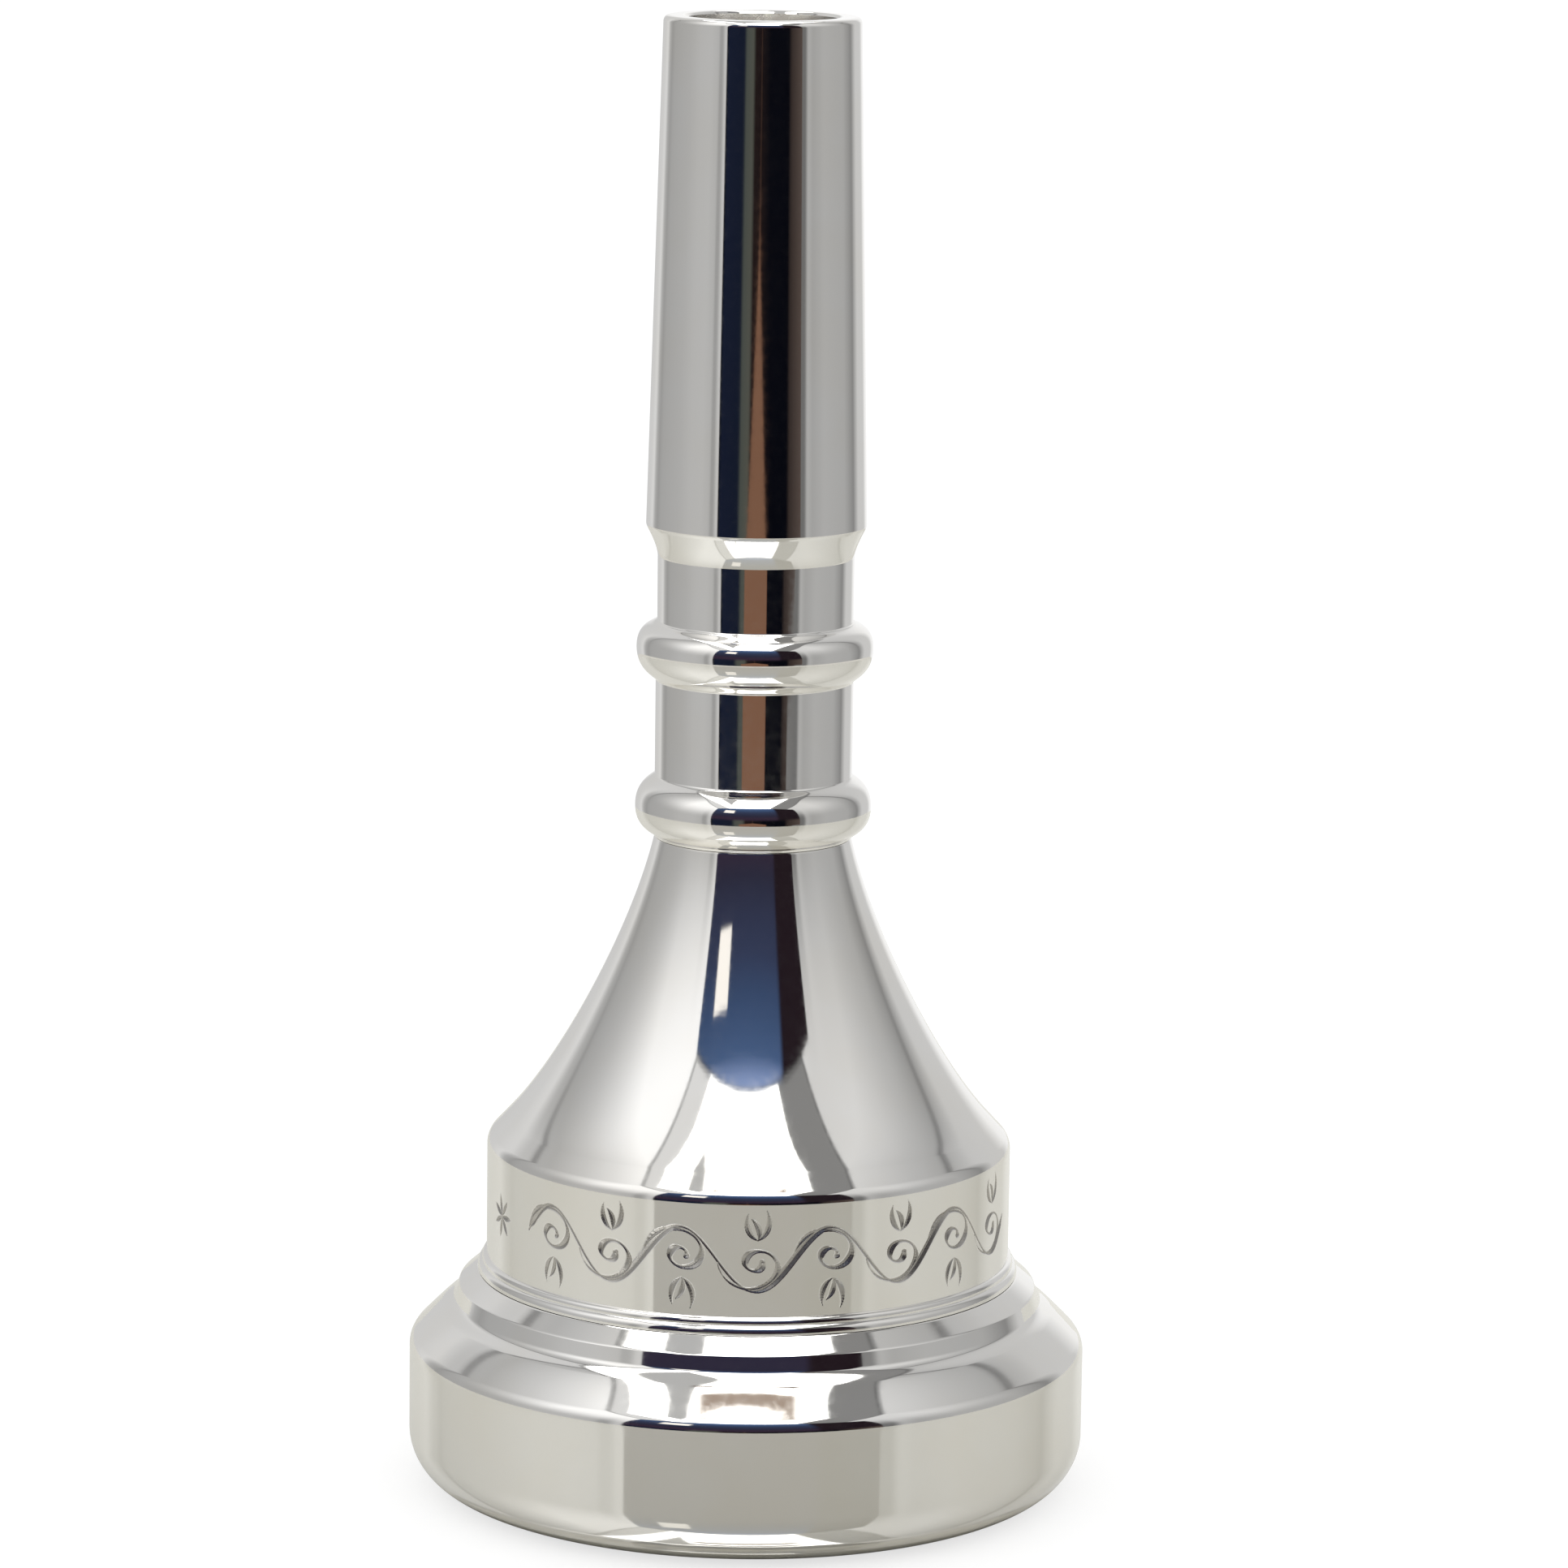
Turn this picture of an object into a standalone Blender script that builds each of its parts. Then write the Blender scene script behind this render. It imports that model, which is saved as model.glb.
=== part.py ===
"""Small-shank tenor trombone mouthpiece that screws apart into rim, cup and shank.

The mouthpiece stands on its rim with the shank pointing up: the axis is Z and the rim
rests on z = 0. Every profile is a closed loop of rows around one turned piece, up its
outside and down its inside, in millimetres. The meshes are built in metres.
"""
import math
from collections import namedtuple

import bpy

MM = 0.001

# ---- driving dimensions, mm -------------------------------------------------------------
LENGTH = 83.35            # rim plane to shank tip
RIM_RADIUS = 19.24        # outside of the rim
CUP_RADIUS = 12.75        # widest inside radius, where the lips go
BAND_RADIUS = 14.87       # straight band round the cup
NECK_RADIUS = 5.57        # thin neck between the two beads
BEAD_RADIUS = 6.66        # both beads
SHANK_RADIUS = 6.19       # large end of the tapered shank
TIP_RADIUS = 5.5          # small end of the tapered shank
THROAT_RADIUS = 3.3       # narrowest point of the bore
TIP_BORE_RADIUS = 4.2     # bore at the shank tip

RIM_SEAT = 12.25          # flat on the rim that the cup screws down to
CUP_TOP = 37.30           # flat on the cup that the shank screws down to
SEAT_GAP = 0.05           # left between each pair of seats
RIM_TENON_END = 17.60     # top of the rim's threaded tenon
SHANK_TENON_END = 32.20   # bottom of the shank's threaded tenon

# A thread's root is its small radius, on the tenon. The socket's thread is the same shape,
# larger all round by the clearance.
Thread = namedtuple("Thread", "pitch root depth clearance low high")
RIM_THREAD = Thread(pitch=1.0, root=13.10, depth=0.55, clearance=0.20, low=13.30, high=16.30)
SHANK_THREAD = Thread(pitch=0.8, root=3.90, depth=0.45, clearance=0.15, low=32.90, high=35.30)

# Seals: radius of the ring's centre line, its height at rest, and its own thickness radius.
Seal = namedtuple("Seal", "radius height section")
RIM_SEAL = Seal(radius=12.35, height=18.15, section=0.50)
SHANK_SEAL = Seal(radius=4.13, height=36.38, section=0.35)

WIDE_SEGMENTS = 36        # facets round the rim and the cup
SLIM_SEGMENTS = 32        # facets round the shank
ROWS_PER_TURN = 5         # rows of the mesh in one pitch of a thread
SMOOTH_ANGLE = math.radians(35)

# The bowl's curve, from just above the bite down to where it turns into the throat.
BOWL = ((CUP_RADIUS, 2.4), (12.6, 13.0), (9.9, 24.6), (4.1, 26.4))

# One row of a turned mesh: its mean radius, its height, and the thread wave it carries.
Row = namedtuple("Row", "radius height swing pitch", defaults=(0.0, 1.0))


# ---- curves -----------------------------------------------------------------------------
def bezier(start, handle_a, handle_b, end, steps):
    """Rows along a cubic curve, both ends included."""
    rows = []
    for i in range(steps + 1):
        t = i / steps
        weights = ((1 - t) ** 3, 3 * t * (1 - t) ** 2, 3 * t * t * (1 - t), t ** 3)
        points = (start, handle_a, handle_b, end)
        radius = sum(w * p[0] for w, p in zip(weights, points))
        height = sum(w * p[1] for w, p in zip(weights, points))
        rows.append(Row(radius, height))
    return rows


def arc(centre, half_width, half_height, start, end, steps):
    """Rows along part of an ellipse, from one angle to another in degrees."""
    rows = []
    for i in range(steps + 1):
        angle = math.radians(start + (end - start) * i / steps)
        rows.append(Row(centre[0] + half_width * math.cos(angle),
                        centre[1] + half_height * math.sin(angle)))
    return rows


def line(*points):
    """Rows at the corners of a straight-sided stretch."""
    return [Row(radius, height) for radius, height in points]


def bowl_rows(low, high, steps):
    """Rows of the bowl between two heights, from the top down."""
    curve = bezier(*BOWL, 200)
    rows = []
    for i in range(steps + 1):
        height = high + (low - high) * i / steps
        nearest = min(curve, key=lambda row: abs(row.height - height))
        rows.append(Row(nearest.radius, height))
    return rows


# ---- threads ----------------------------------------------------------------------------
def thread_rows(thread, low, high):
    """Heights of a thread's rows and how much of its full depth each row has."""
    count = round((high - low) / thread.pitch * ROWS_PER_TURN)
    run_out = thread.pitch / 2
    for i in range(count + 1):
        height = low + (high - low) * i / count
        yield height, min(1.0, (height - low) / run_out, (high - height) / run_out)


def male_thread(thread):
    """Outside thread of a tenon, from the bottom up."""
    rows = []
    for height, fullness in thread_rows(thread, thread.low, thread.high):
        swing = thread.depth / 2 * fullness
        rows.append(Row(thread.root + swing, height, swing, thread.pitch))
    return rows


def female_thread(thread):
    """Inside thread of a socket, from the top down."""
    major = thread.root + thread.depth + thread.clearance
    rows = []
    for height, fullness in thread_rows(thread, thread.low, thread.high):
        swing = thread.depth / 2 * fullness
        rows.append(Row(major - swing, height, swing, thread.pitch))
    return rows[::-1]


# ---- the turned mesh --------------------------------------------------------------------
def turned(name, rows, segments, material, seat, parent=None):
    """Make one closed turned piece whose origin is on the axis at its seat height."""
    vertices = []
    for i in range(segments):
        angle = 2 * math.pi * i / segments
        for row in rows:
            wave = math.cos(2 * math.pi * row.height / row.pitch - angle)
            radius = (row.radius + row.swing * wave) * MM
            height = (row.height - seat) * MM
            vertices.append((radius * math.cos(angle), radius * math.sin(angle), height))
    count = len(rows)
    faces = []
    for i in range(segments):
        here = i * count
        there = (i + 1) % segments * count
        for j in range(count):
            k = (j + 1) % count
            faces.append((here + j, there + j, there + k, here + k))
    mesh = bpy.data.meshes.new(name)
    mesh.from_pydata(vertices, [], faces)
    mesh.update()
    mesh.shade_smooth()
    mesh.set_sharp_from_angle(angle=SMOOTH_ANGLE)
    mesh.materials.append(material)
    piece = bpy.data.objects.new(name, mesh)
    bpy.context.scene.collection.objects.link(piece)
    piece["seat_mm"] = seat
    piece.parent = parent
    piece.location.z = (seat - (parent["seat_mm"] if parent else 0.0)) * MM
    return piece


def finish(name, colour, roughness, metallic):
    """A plain material for one kind of surface."""
    material = bpy.data.materials.new(name)
    material.use_nodes = True
    shader = material.node_tree.nodes["Principled BSDF"]
    shader.inputs["Base Color"].default_value = (*colour, 1.0)
    shader.inputs["Roughness"].default_value = roughness
    shader.inputs["Metallic"].default_value = metallic
    return material


# ---- profiles ---------------------------------------------------------------------------
def rim_rows():
    """Rim: land, rounded edge, ogee shoulder, flange, threaded tenon, bowl and bite."""
    edge = 2.95
    knee = arc((RIM_RADIUS - 1.10, 7.75), 1.10, 1.10, 0, 43, 3)
    shoulder_end = (17.41, 10.07)
    root = RIM_THREAD.root - 0.05
    return [
        *line((15.1, 0.0)),
        *arc((RIM_RADIUS - edge, edge), edge, edge, -90, 0, 6),
        *knee,
        *bezier(knee[-1][:2], (18.44, 9.06), (17.86, 9.74), shoulder_end, 4)[1:],
        *bezier(shoulder_end, (17.09, 10.30), (16.73, 10.37), (16.64, 10.66), 4)[1:],
        *line((16.42, 11.40), (16.36, 11.46), (15.46, RIM_SEAT), (root, RIM_SEAT)),
        *male_thread(RIM_THREAD),
        *line((root, RIM_TENON_END - 0.25), (root - 0.25, RIM_TENON_END)),
        *bowl_rows(2.4, RIM_TENON_END, 7),
        *arc((15.1, 2.4), 15.1 - CUP_RADIUS, 2.4, 180, 270, 5)[1:-1],
    ]


def cup_rows():
    """Cup: foot of two small beads, band, shoulder, flare, sockets and bowl."""
    foot = RIM_SEAT + SEAT_GAP
    mouth = RIM_THREAD.root + RIM_THREAD.depth + RIM_THREAD.clearance
    socket = SHANK_THREAD.root + SHANK_THREAD.depth + SHANK_THREAD.clearance
    groove_roof = RIM_SEAL.height + RIM_SEAL.section + SEAT_GAP
    ledge = RIM_TENON_END + 0.20
    throat_top = SHANK_TENON_END - 0.25
    flare_foot = (13.74, 21.08)
    return [
        *line((mouth + 0.10, foot), (15.38, foot), (15.36, 12.56), (15.14, 12.78),
              (15.13, 12.98), (14.92, 13.18), (BAND_RADIUS, 13.27)),
        *arc((BAND_RADIUS - 1.06, 19.46), 1.06, 1.06, 0, 43, 3),
        *bezier(flare_foot, (10.94, 24.08), (6.88, 31.60), (5.58, CUP_TOP - 0.10), 15),
        *line((5.48, CUP_TOP), (socket + 0.20, CUP_TOP)),
        *line((socket + 0.20, SHANK_THREAD.high + 0.25)),
        *female_thread(SHANK_THREAD),
        *line((socket, throat_top), (THROAT_RADIUS, throat_top)),
        *bezier((THROAT_RADIUS, 28.4), (THROAT_RADIUS, 27.2), (3.6, 26.6), BOWL[-1], 3),
        *bowl_rows(ledge, BOWL[-1][1], 9)[1:],
        *line((11.65, ledge), (11.65, groove_roof), (13.05, groove_roof), (13.05, ledge)),
        *line((mouth, ledge)),
        *female_thread(RIM_THREAD),
    ]


def bead(centre, low, high):
    """Outline of one bead between two necks, from the bottom up."""
    reach = 1.26
    foot = NECK_RADIUS + 0.03
    below = bezier((foot, low), (foot + 0.16, low + 0.22), (BEAD_RADIUS, centre - reach),
                   (BEAD_RADIUS, centre), 6)
    above = bezier((BEAD_RADIUS, centre), (BEAD_RADIUS, centre + reach),
                   (foot + 0.16, high - 0.22), (foot, high), 6)
    return below + above[1:]


def shank_rows():
    """Shank: threaded tenon, two beads and necks, tapered shank and backbore."""
    collar = CUP_TOP + SEAT_GAP
    root = SHANK_THREAD.root
    groove = SHANK_SEAL.radius - SHANK_SEAL.section - SEAT_GAP
    return [
        *line((THROAT_RADIUS, SHANK_TENON_END), (root - 0.15, SHANK_TENON_END)),
        *line((root, SHANK_TENON_END + 0.15)),
        *male_thread(SHANK_THREAD),
        *line((root, 35.70), (4.30, 35.80), (4.30, 35.96), (groove, 35.96)),
        *line((groove, 36.80), (4.35, 36.80), (4.35, collar), (5.50, collar)),
        *bead(39.06, collar + 0.10, 40.82),
        *bead(48.09, 46.28, 49.57),
        *bezier((5.52, 53.25), (5.60, 53.90), (5.74, 54.85), (SHANK_RADIUS - 0.07, 54.93), 5),
        *line((SHANK_RADIUS, 55.05)),
        *arc((TIP_RADIUS - 0.25, LENGTH - 0.25), 0.25, 0.25, 0, 90, 2),
        *line((TIP_BORE_RADIUS, LENGTH), (THROAT_RADIUS, 39.6)),
    ]


def seal_rows(seal):
    """A round-section ring."""
    return arc((seal.radius, seal.height), seal.section, seal.section, -90, 270, 8)[:-1]


# ---- the mouthpiece ---------------------------------------------------------------------
def build():
    """Remove what the scene holds and make the five pieces, from the rim up."""
    for old in list(bpy.data.objects):
        bpy.data.objects.remove(old, do_unlink=True)
    silver = finish("silver_plate", (0.86, 0.86, 0.85), 0.08, 1.0)
    rubber = finish("seal_rubber", (0.03, 0.03, 0.032), 0.55, 0.0)

    rim = turned("rim", rim_rows(), WIDE_SEGMENTS, silver, 0.0)
    rim_seal = turned("rim_seal", seal_rows(RIM_SEAL), WIDE_SEGMENTS, rubber,
                      RIM_SEAL.height, rim)
    cup = turned("cup", cup_rows(), WIDE_SEGMENTS, silver, RIM_SEAT, rim_seal)
    shank_seal = turned("shank_seal", seal_rows(SHANK_SEAL), SLIM_SEGMENTS, rubber,
                        SHANK_SEAL.height, cup)
    turned("shank", shank_rows(), SLIM_SEGMENTS, silver, CUP_TOP, shank_seal)


build()
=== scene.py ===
"""Looks of a silver-plated trombone mouthpiece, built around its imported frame.

Every part is turned. A profile is a list of legs, and each leg is a run of points with the
surface's normal at each; the profile goes up the outside and down the inside, in
millimetres, and is spun round Z. The silver mirrors a light tent: white walls, a ceiling
of light panels, and an opening at the front onto a darker room.
"""
import math
from collections import namedtuple

import bpy
import numpy as np
from mathutils import Matrix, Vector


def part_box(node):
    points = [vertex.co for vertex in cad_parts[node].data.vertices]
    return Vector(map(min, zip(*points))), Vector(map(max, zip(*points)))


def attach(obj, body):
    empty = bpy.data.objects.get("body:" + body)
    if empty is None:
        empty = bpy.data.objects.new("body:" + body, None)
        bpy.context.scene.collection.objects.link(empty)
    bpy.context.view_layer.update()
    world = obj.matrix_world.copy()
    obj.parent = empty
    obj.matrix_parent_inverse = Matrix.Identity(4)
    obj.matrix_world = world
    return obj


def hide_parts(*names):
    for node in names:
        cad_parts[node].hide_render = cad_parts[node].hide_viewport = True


MM = 0.001

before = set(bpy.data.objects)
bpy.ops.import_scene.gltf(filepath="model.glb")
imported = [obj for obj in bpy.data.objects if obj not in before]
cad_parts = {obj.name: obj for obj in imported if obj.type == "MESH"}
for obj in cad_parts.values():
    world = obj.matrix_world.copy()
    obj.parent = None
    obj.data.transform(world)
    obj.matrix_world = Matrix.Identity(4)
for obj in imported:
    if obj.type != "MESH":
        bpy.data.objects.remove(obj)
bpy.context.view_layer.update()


def turned_size(node):
    """Outside radius, lowest and highest point of a CAD node, mm."""
    low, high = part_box(node)
    return high.x / MM, low.z / MM, high.z / MM


# ---- driving dimensions, mm -------------------------------------------------------------
RIM_RADIUS, _, RIM_TENON_END = turned_size("rim")
_, _, CUP_TOP = turned_size("cup")
BEAD_RADIUS, SHANK_TENON_END, LENGTH = turned_size("shank")

RIM_SEAT = 12.25          # flat on the rim that the cup screws down to
JOINT_GAP = 0.02          # left between each pair of seats, so that the joint line shows
CUP_RADIUS = 12.75        # widest inside radius
BAND_RADIUS = 14.87       # straight band round the cup
NECK_RADIUS = 5.57
SHANK_RADIUS = 6.19
TIP_RADIUS = 5.5
THROAT_RADIUS = 3.3
TIP_BORE_RADIUS = 4.2
BAND_LOW, BAND_HIGH = 13.27, 19.46
BAND_KNEE = 1.06          # radius between the band and the shoulder
LAND_INSIDE = 15.1        # inner edge of the flat land that the mouthpiece stands on
BITE_HEIGHT = 2.4         # where the bite's rounding meets the bowl
RIM_EDGE, RIM_KNEE = 2.95, 1.10   # radii below and above the rim's straight side
RIM_SIDE_TOP = 7.75       # top of that straight side
LOWER_BEAD, LOWER_BEAD_TOP = 39.06, 40.82            # its centre and where its neck starts
UPPER_BEAD, UPPER_BEAD_LOW, UPPER_BEAD_TOP = 48.09, 46.28, 49.57
TAPER_FOOT = 55.05        # where the tapered shank starts
BACKBORE_LOW = 39.6       # where the bore starts to widen towards the tip
EDGE = 0.04               # rounding of a crisp edge
SOFT_EDGE = 0.12          # rounding of an edge that the buffing wheel reached

Thread = namedtuple("Thread", "pitch root depth clearance low high")
RIM_THREAD = Thread(pitch=1.0, root=13.10, depth=0.60, clearance=0.12, low=13.10, high=16.90)
SHANK_THREAD = Thread(pitch=0.8, root=3.90, depth=0.48, clearance=0.10, low=32.50, high=35.60)

Seal = namedtuple("Seal", "radius height section")
RIM_SEAL = Seal(radius=12.35, height=18.15, section=0.50)
SHANK_SEAL = Seal(radius=4.13, height=36.38, section=0.35)

# The bowl's curve, from just above the bite down to where it turns into the throat.
BOWL = ((CUP_RADIUS, BITE_HEIGHT), (12.6, 13.0), (9.9, 24.6), (4.1, 26.4))

SEGMENTS = 192            # round each part
FINE_STEPS = 12           # extra columns in each segment of the engraved band
FINE_ROW = 0.04           # height of a row there
THREAD_ROWS = 24          # rows in one pitch of a thread
ENGRAVED = (-88.0, 82.0)  # the band's engraved stretch, degrees round from the front

POLISHED, MACHINED = 0, 1  # material slots of the silver parts


# ---- profiles ---------------------------------------------------------------------------
Leg = namedtuple("Leg", "points normals finish relief", defaults=(POLISHED, None))


def make_leg(points, tangents, finish=POLISHED, relief=None):
    """A leg whose normals point out of the metal, to the right of its direction."""
    points, tangents = np.array(points, float), np.array(tangents, float)
    normals = np.stack([tangents[:, 1], -tangents[:, 0]], axis=1)
    normals /= np.linalg.norm(normals, axis=1, keepdims=True)
    return Leg(points, normals, finish, relief)


def arc(centre, half_width, half_height, start, end, rows, finish=POLISHED):
    """Part of an ellipse, from one angle to another in degrees."""
    angles = np.radians(np.linspace(start, end, rows + 1))
    across, up = half_width * np.cos(angles), half_height * np.sin(angles)
    points = np.stack([centre[0] + across, centre[1] + up], axis=1)
    way = math.copysign(1.0, end - start)
    tangents = np.stack([-half_width * np.sin(angles), half_height * np.cos(angles)], axis=1)
    return make_leg(points, way * tangents, finish)


def curve(a, b, c, d, rows, finish=POLISHED, start=0.0, end=1.0):
    """Part of a cubic curve with end points a and d and handles b and c."""
    t = np.linspace(start, end, rows + 1)[:, None]
    a, b, c, d = (np.array(p, float) for p in (a, b, c, d))
    points = (1 - t) ** 3 * a + 3 * t * (1 - t) ** 2 * b + 3 * t ** 2 * (1 - t) * c + t ** 3 * d
    tangents = (1 - t) ** 2 * (b - a) + 2 * t * (1 - t) * (c - b) + t ** 2 * (d - c)
    return make_leg(points, math.copysign(1.0, end - start) * tangents, finish)


def rounded(corners, radius=EDGE, finish=POLISHED):
    """Straight stretches between corners, each inner corner rounded."""
    corners = [np.array(c, float) for c in corners]
    first = corners[1] - corners[0]
    points, tangents = [corners[0]], [first]
    for before, corner, after in zip(corners, corners[1:], corners[2:]):
        way_in, way_out = corner - before, after - corner
        reach_in, reach_out = np.linalg.norm(way_in), np.linalg.norm(way_out)
        cut = min(radius, 0.45 * reach_in, 0.45 * reach_out)
        start = corner - way_in / reach_in * cut
        end = corner + way_out / reach_out * cut
        for t in (0.0, 0.25, 0.5, 0.75, 1.0):
            points.append((1 - t) ** 2 * start + 2 * t * (1 - t) * corner + t * t * end)
            tangents.append((1 - t) * (corner - start) + t * (end - corner))
    points.append(corners[-1])
    tangents.append(corners[-1] - corners[-2])
    return make_leg(points, tangents, finish)


def bowl(high, low, rows, finish=POLISHED):
    """The bowl's wall between two heights, from the one further up the mouthpiece."""
    t = np.linspace(0, 1, 400)
    heights = curve(*BOWL, 399).points[:, 1]
    start, end = np.interp((high, low), heights, t)
    return curve(*BOWL, rows, finish, start, end)


# ---- threads ----------------------------------------------------------------------------
def tooth(thread, height, angle):
    """How far a right-hand thread stands out there, from 0 at its root to 1 at its crest."""
    turns = height / thread.pitch - angle / (2 * math.pi)
    from_crest = np.abs(turns - np.round(turns))
    slope = np.clip((0.40 - from_crest) / 0.28, 0, 1)
    run_out = np.minimum(height - thread.low, thread.high - height) / (0.5 * thread.pitch)
    return slope * slope * (3 - 2 * slope), np.clip(run_out, 0, 1)


def thread_leg(thread, radius, low, high, male):
    """A threaded stretch: up the outside of a tenon, or down the inside of a socket."""
    rows = round(abs(high - low) / thread.pitch * THREAD_ROWS)

    def relief(height, angle):
        stand, full = tooth(thread, height, angle)
        return thread.depth * full * (stand if male else stand - 1)

    points = np.stack([np.full(rows + 1, radius), np.linspace(low, high, rows + 1)], axis=1)
    tangents = np.tile([0.0, high - low], (rows + 1, 1))
    return make_leg(points, tangents, MACHINED, relief)


# ---- the engraving ----------------------------------------------------------------------
VINE_START, VINE_PERIOD, VINE_PERIODS = -14.2, 8.4, 4
VINE_MIDDLE, VINE_SWING = 16.45, 1.75
HAIRLINE, SWELL = 0.14, 0.31     # width of a thin stroke, and what a thick one adds
SLANT = math.radians(58)         # strokes along this direction are the thick ones
CUT_SLOPE = 0.55                 # depth of a cut over half its width
ROSETTE_ACROSS, ROSETTE_UP = -17.6, 16.4
ROSETTE_PETALS, ROSETTE_SIZE = 7, 1.25


def stroke(points, swell=SWELL):
    """Points of a cut with the graver's width at each: thick where it runs along the slant."""
    points = np.array(points, float)
    way = np.gradient(points, axis=0)
    direction = np.arctan2(way[:, 1], way[:, 0])
    widths = HAIRLINE + swell * np.abs(np.cos(direction - SLANT)) ** 3
    taper = np.clip(np.minimum(np.arange(len(points)), np.arange(len(points))[::-1]) / 5, 0.4, 1)
    return points, widths * taper


def volute(centre, side):
    """A tendril that leaves the stem and curls up inside its bend, with a bud at the end."""
    t = np.linspace(0, 1, 70)
    radius = 0.34 + 1.76 * (1 - t) ** 1.9
    angle = math.pi - t * math.radians(560)
    across = centre[0] + radius * np.cos(angle)
    up = centre[1] + side * radius * 0.86 * np.sin(angle)
    bud = np.linspace((across[-1], up[-1]), (across[-1] + 0.06, up[-1] + 0.02), 3)
    return [stroke(np.stack([across, up], axis=1)), (bud, np.full(3, 0.30))]


def leaf(root, heading, length, bend):
    """A small curved leaf, widest at its middle."""
    s = np.linspace(0, 1, 14)
    angle = math.radians(heading) + math.radians(bend) * s
    across = root[0] + length * s * np.cos(angle)
    up = root[1] + length * s * np.sin(angle)
    widths = 0.07 + 0.27 * np.sin(math.pi * np.clip(s * 1.06, 0, 1)) ** 1.3
    return np.stack([across, up], axis=1), widths


def vine():
    """A running scroll of stem, tendrils and leaves round the band."""
    along = np.linspace(0, VINE_PERIODS * VINE_PERIOD, 420)
    wave = VINE_SWING * np.sin(2 * math.pi * along / VINE_PERIOD)
    cuts = [stroke(np.stack([VINE_START + along, VINE_MIDDLE + wave], axis=1))]
    half = VINE_PERIOD / 2
    for k in range(2 * VINE_PERIODS):
        side = 1 if k % 2 == 0 else -1
        start = VINE_START + k * half
        cuts += volute((start + half / 2 + 0.05, VINE_MIDDLE + 0.22 * side), side)
        tip = (start + half / 2 + 0.15, VINE_MIDDLE - 1.12 * side)
        for heading, bend, length in ((-28, -46, 1.75), (-66, -40, 1.25), (206, 44, 1.60)):
            cuts.append(leaf(tip, side * heading, length, side * bend))
    return cuts


def rosette(across, up, petals, size):
    """A ring of small leaves round a point."""
    return [leaf((across, up), 360 * k / petals, size, 0) for k in range(petals)]


def cut_depth(cuts, across, up):
    """Depth of the cuts, mm, on a grid of places round and up the band."""
    depth = np.zeros((len(up), len(across)))
    for points, widths in cuts:
        for start, end, width in zip(points, points[1:], widths):
            low, high = np.minimum(start, end) - width, np.maximum(start, end) + width
            cols = slice(*np.searchsorted(across, (low[0], high[0])))
            rows = slice(*np.searchsorted(up, (low[1], high[1])))
            place = np.stack(np.meshgrid(across[cols], up[rows]), axis=-1)
            way = end - start
            share = np.clip(((place - start) @ way) / max(way @ way, 1e-12), 0, 1)
            distance = np.linalg.norm(place - start - share[..., None] * way, axis=-1)
            cut = CUT_SLOPE * (width / 2 - distance)
            depth[rows, cols] = np.maximum(depth[rows, cols], cut)
    return depth


# ---- spinning a profile into a mesh -----------------------------------------------------
def columns(fine):
    """Angles of a ring's vertices, and the index of the first one in each segment."""
    front = 1.5 * math.pi
    low, high = (front + math.radians(a) for a in ENGRAVED)
    angles, starts = [], []
    for i in range(SEGMENTS):
        middle = 2 * math.pi * (i + 0.5) / SEGMENTS
        steps = FINE_STEPS if fine and low < middle < high else 1
        starts.append(len(angles))
        angles += [2 * math.pi * (i + k / steps) / SEGMENTS for k in range(steps)]
    return np.array(angles), starts


def surface(leg, angles):
    """Positions and normals of a leg's vertices, rows by columns by xyz, and its relief."""
    radius, height = leg.points[:, 0][:, None], leg.points[:, 1][:, None]
    relief = np.zeros((len(radius), len(angles)))
    across, up = leg.normals[:, 0][:, None], leg.normals[:, 1][:, None]
    round_slope = up_slope = 0.0
    if leg.relief is not None:
        relief = leg.relief(height, angles[None, :]) + relief
        wrapped = np.concatenate([angles[-1:] - 2 * math.pi, angles, angles[:1] + 2 * math.pi])
        ring = np.concatenate([relief[:, -1:], relief, relief[:, :1]], axis=1)
        round_slope = np.gradient(ring, wrapped, axis=1)[:, 1:-1] / radius
        up_slope = np.gradient(relief, height[:, 0], axis=0)
    radius = radius + relief
    cos, sin = np.cos(angles), np.sin(angles)
    places = np.stack([radius * cos, radius * sin, height + 0 * relief], axis=-1)
    out, up = across + 0 * relief, up - across * up_slope
    turn = -across * round_slope
    normals = np.stack([out * cos - turn * sin, out * sin + turn * cos, up + 0 * relief], axis=-1)
    normals /= np.linalg.norm(normals, axis=-1, keepdims=True)
    return places, normals, relief


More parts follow.
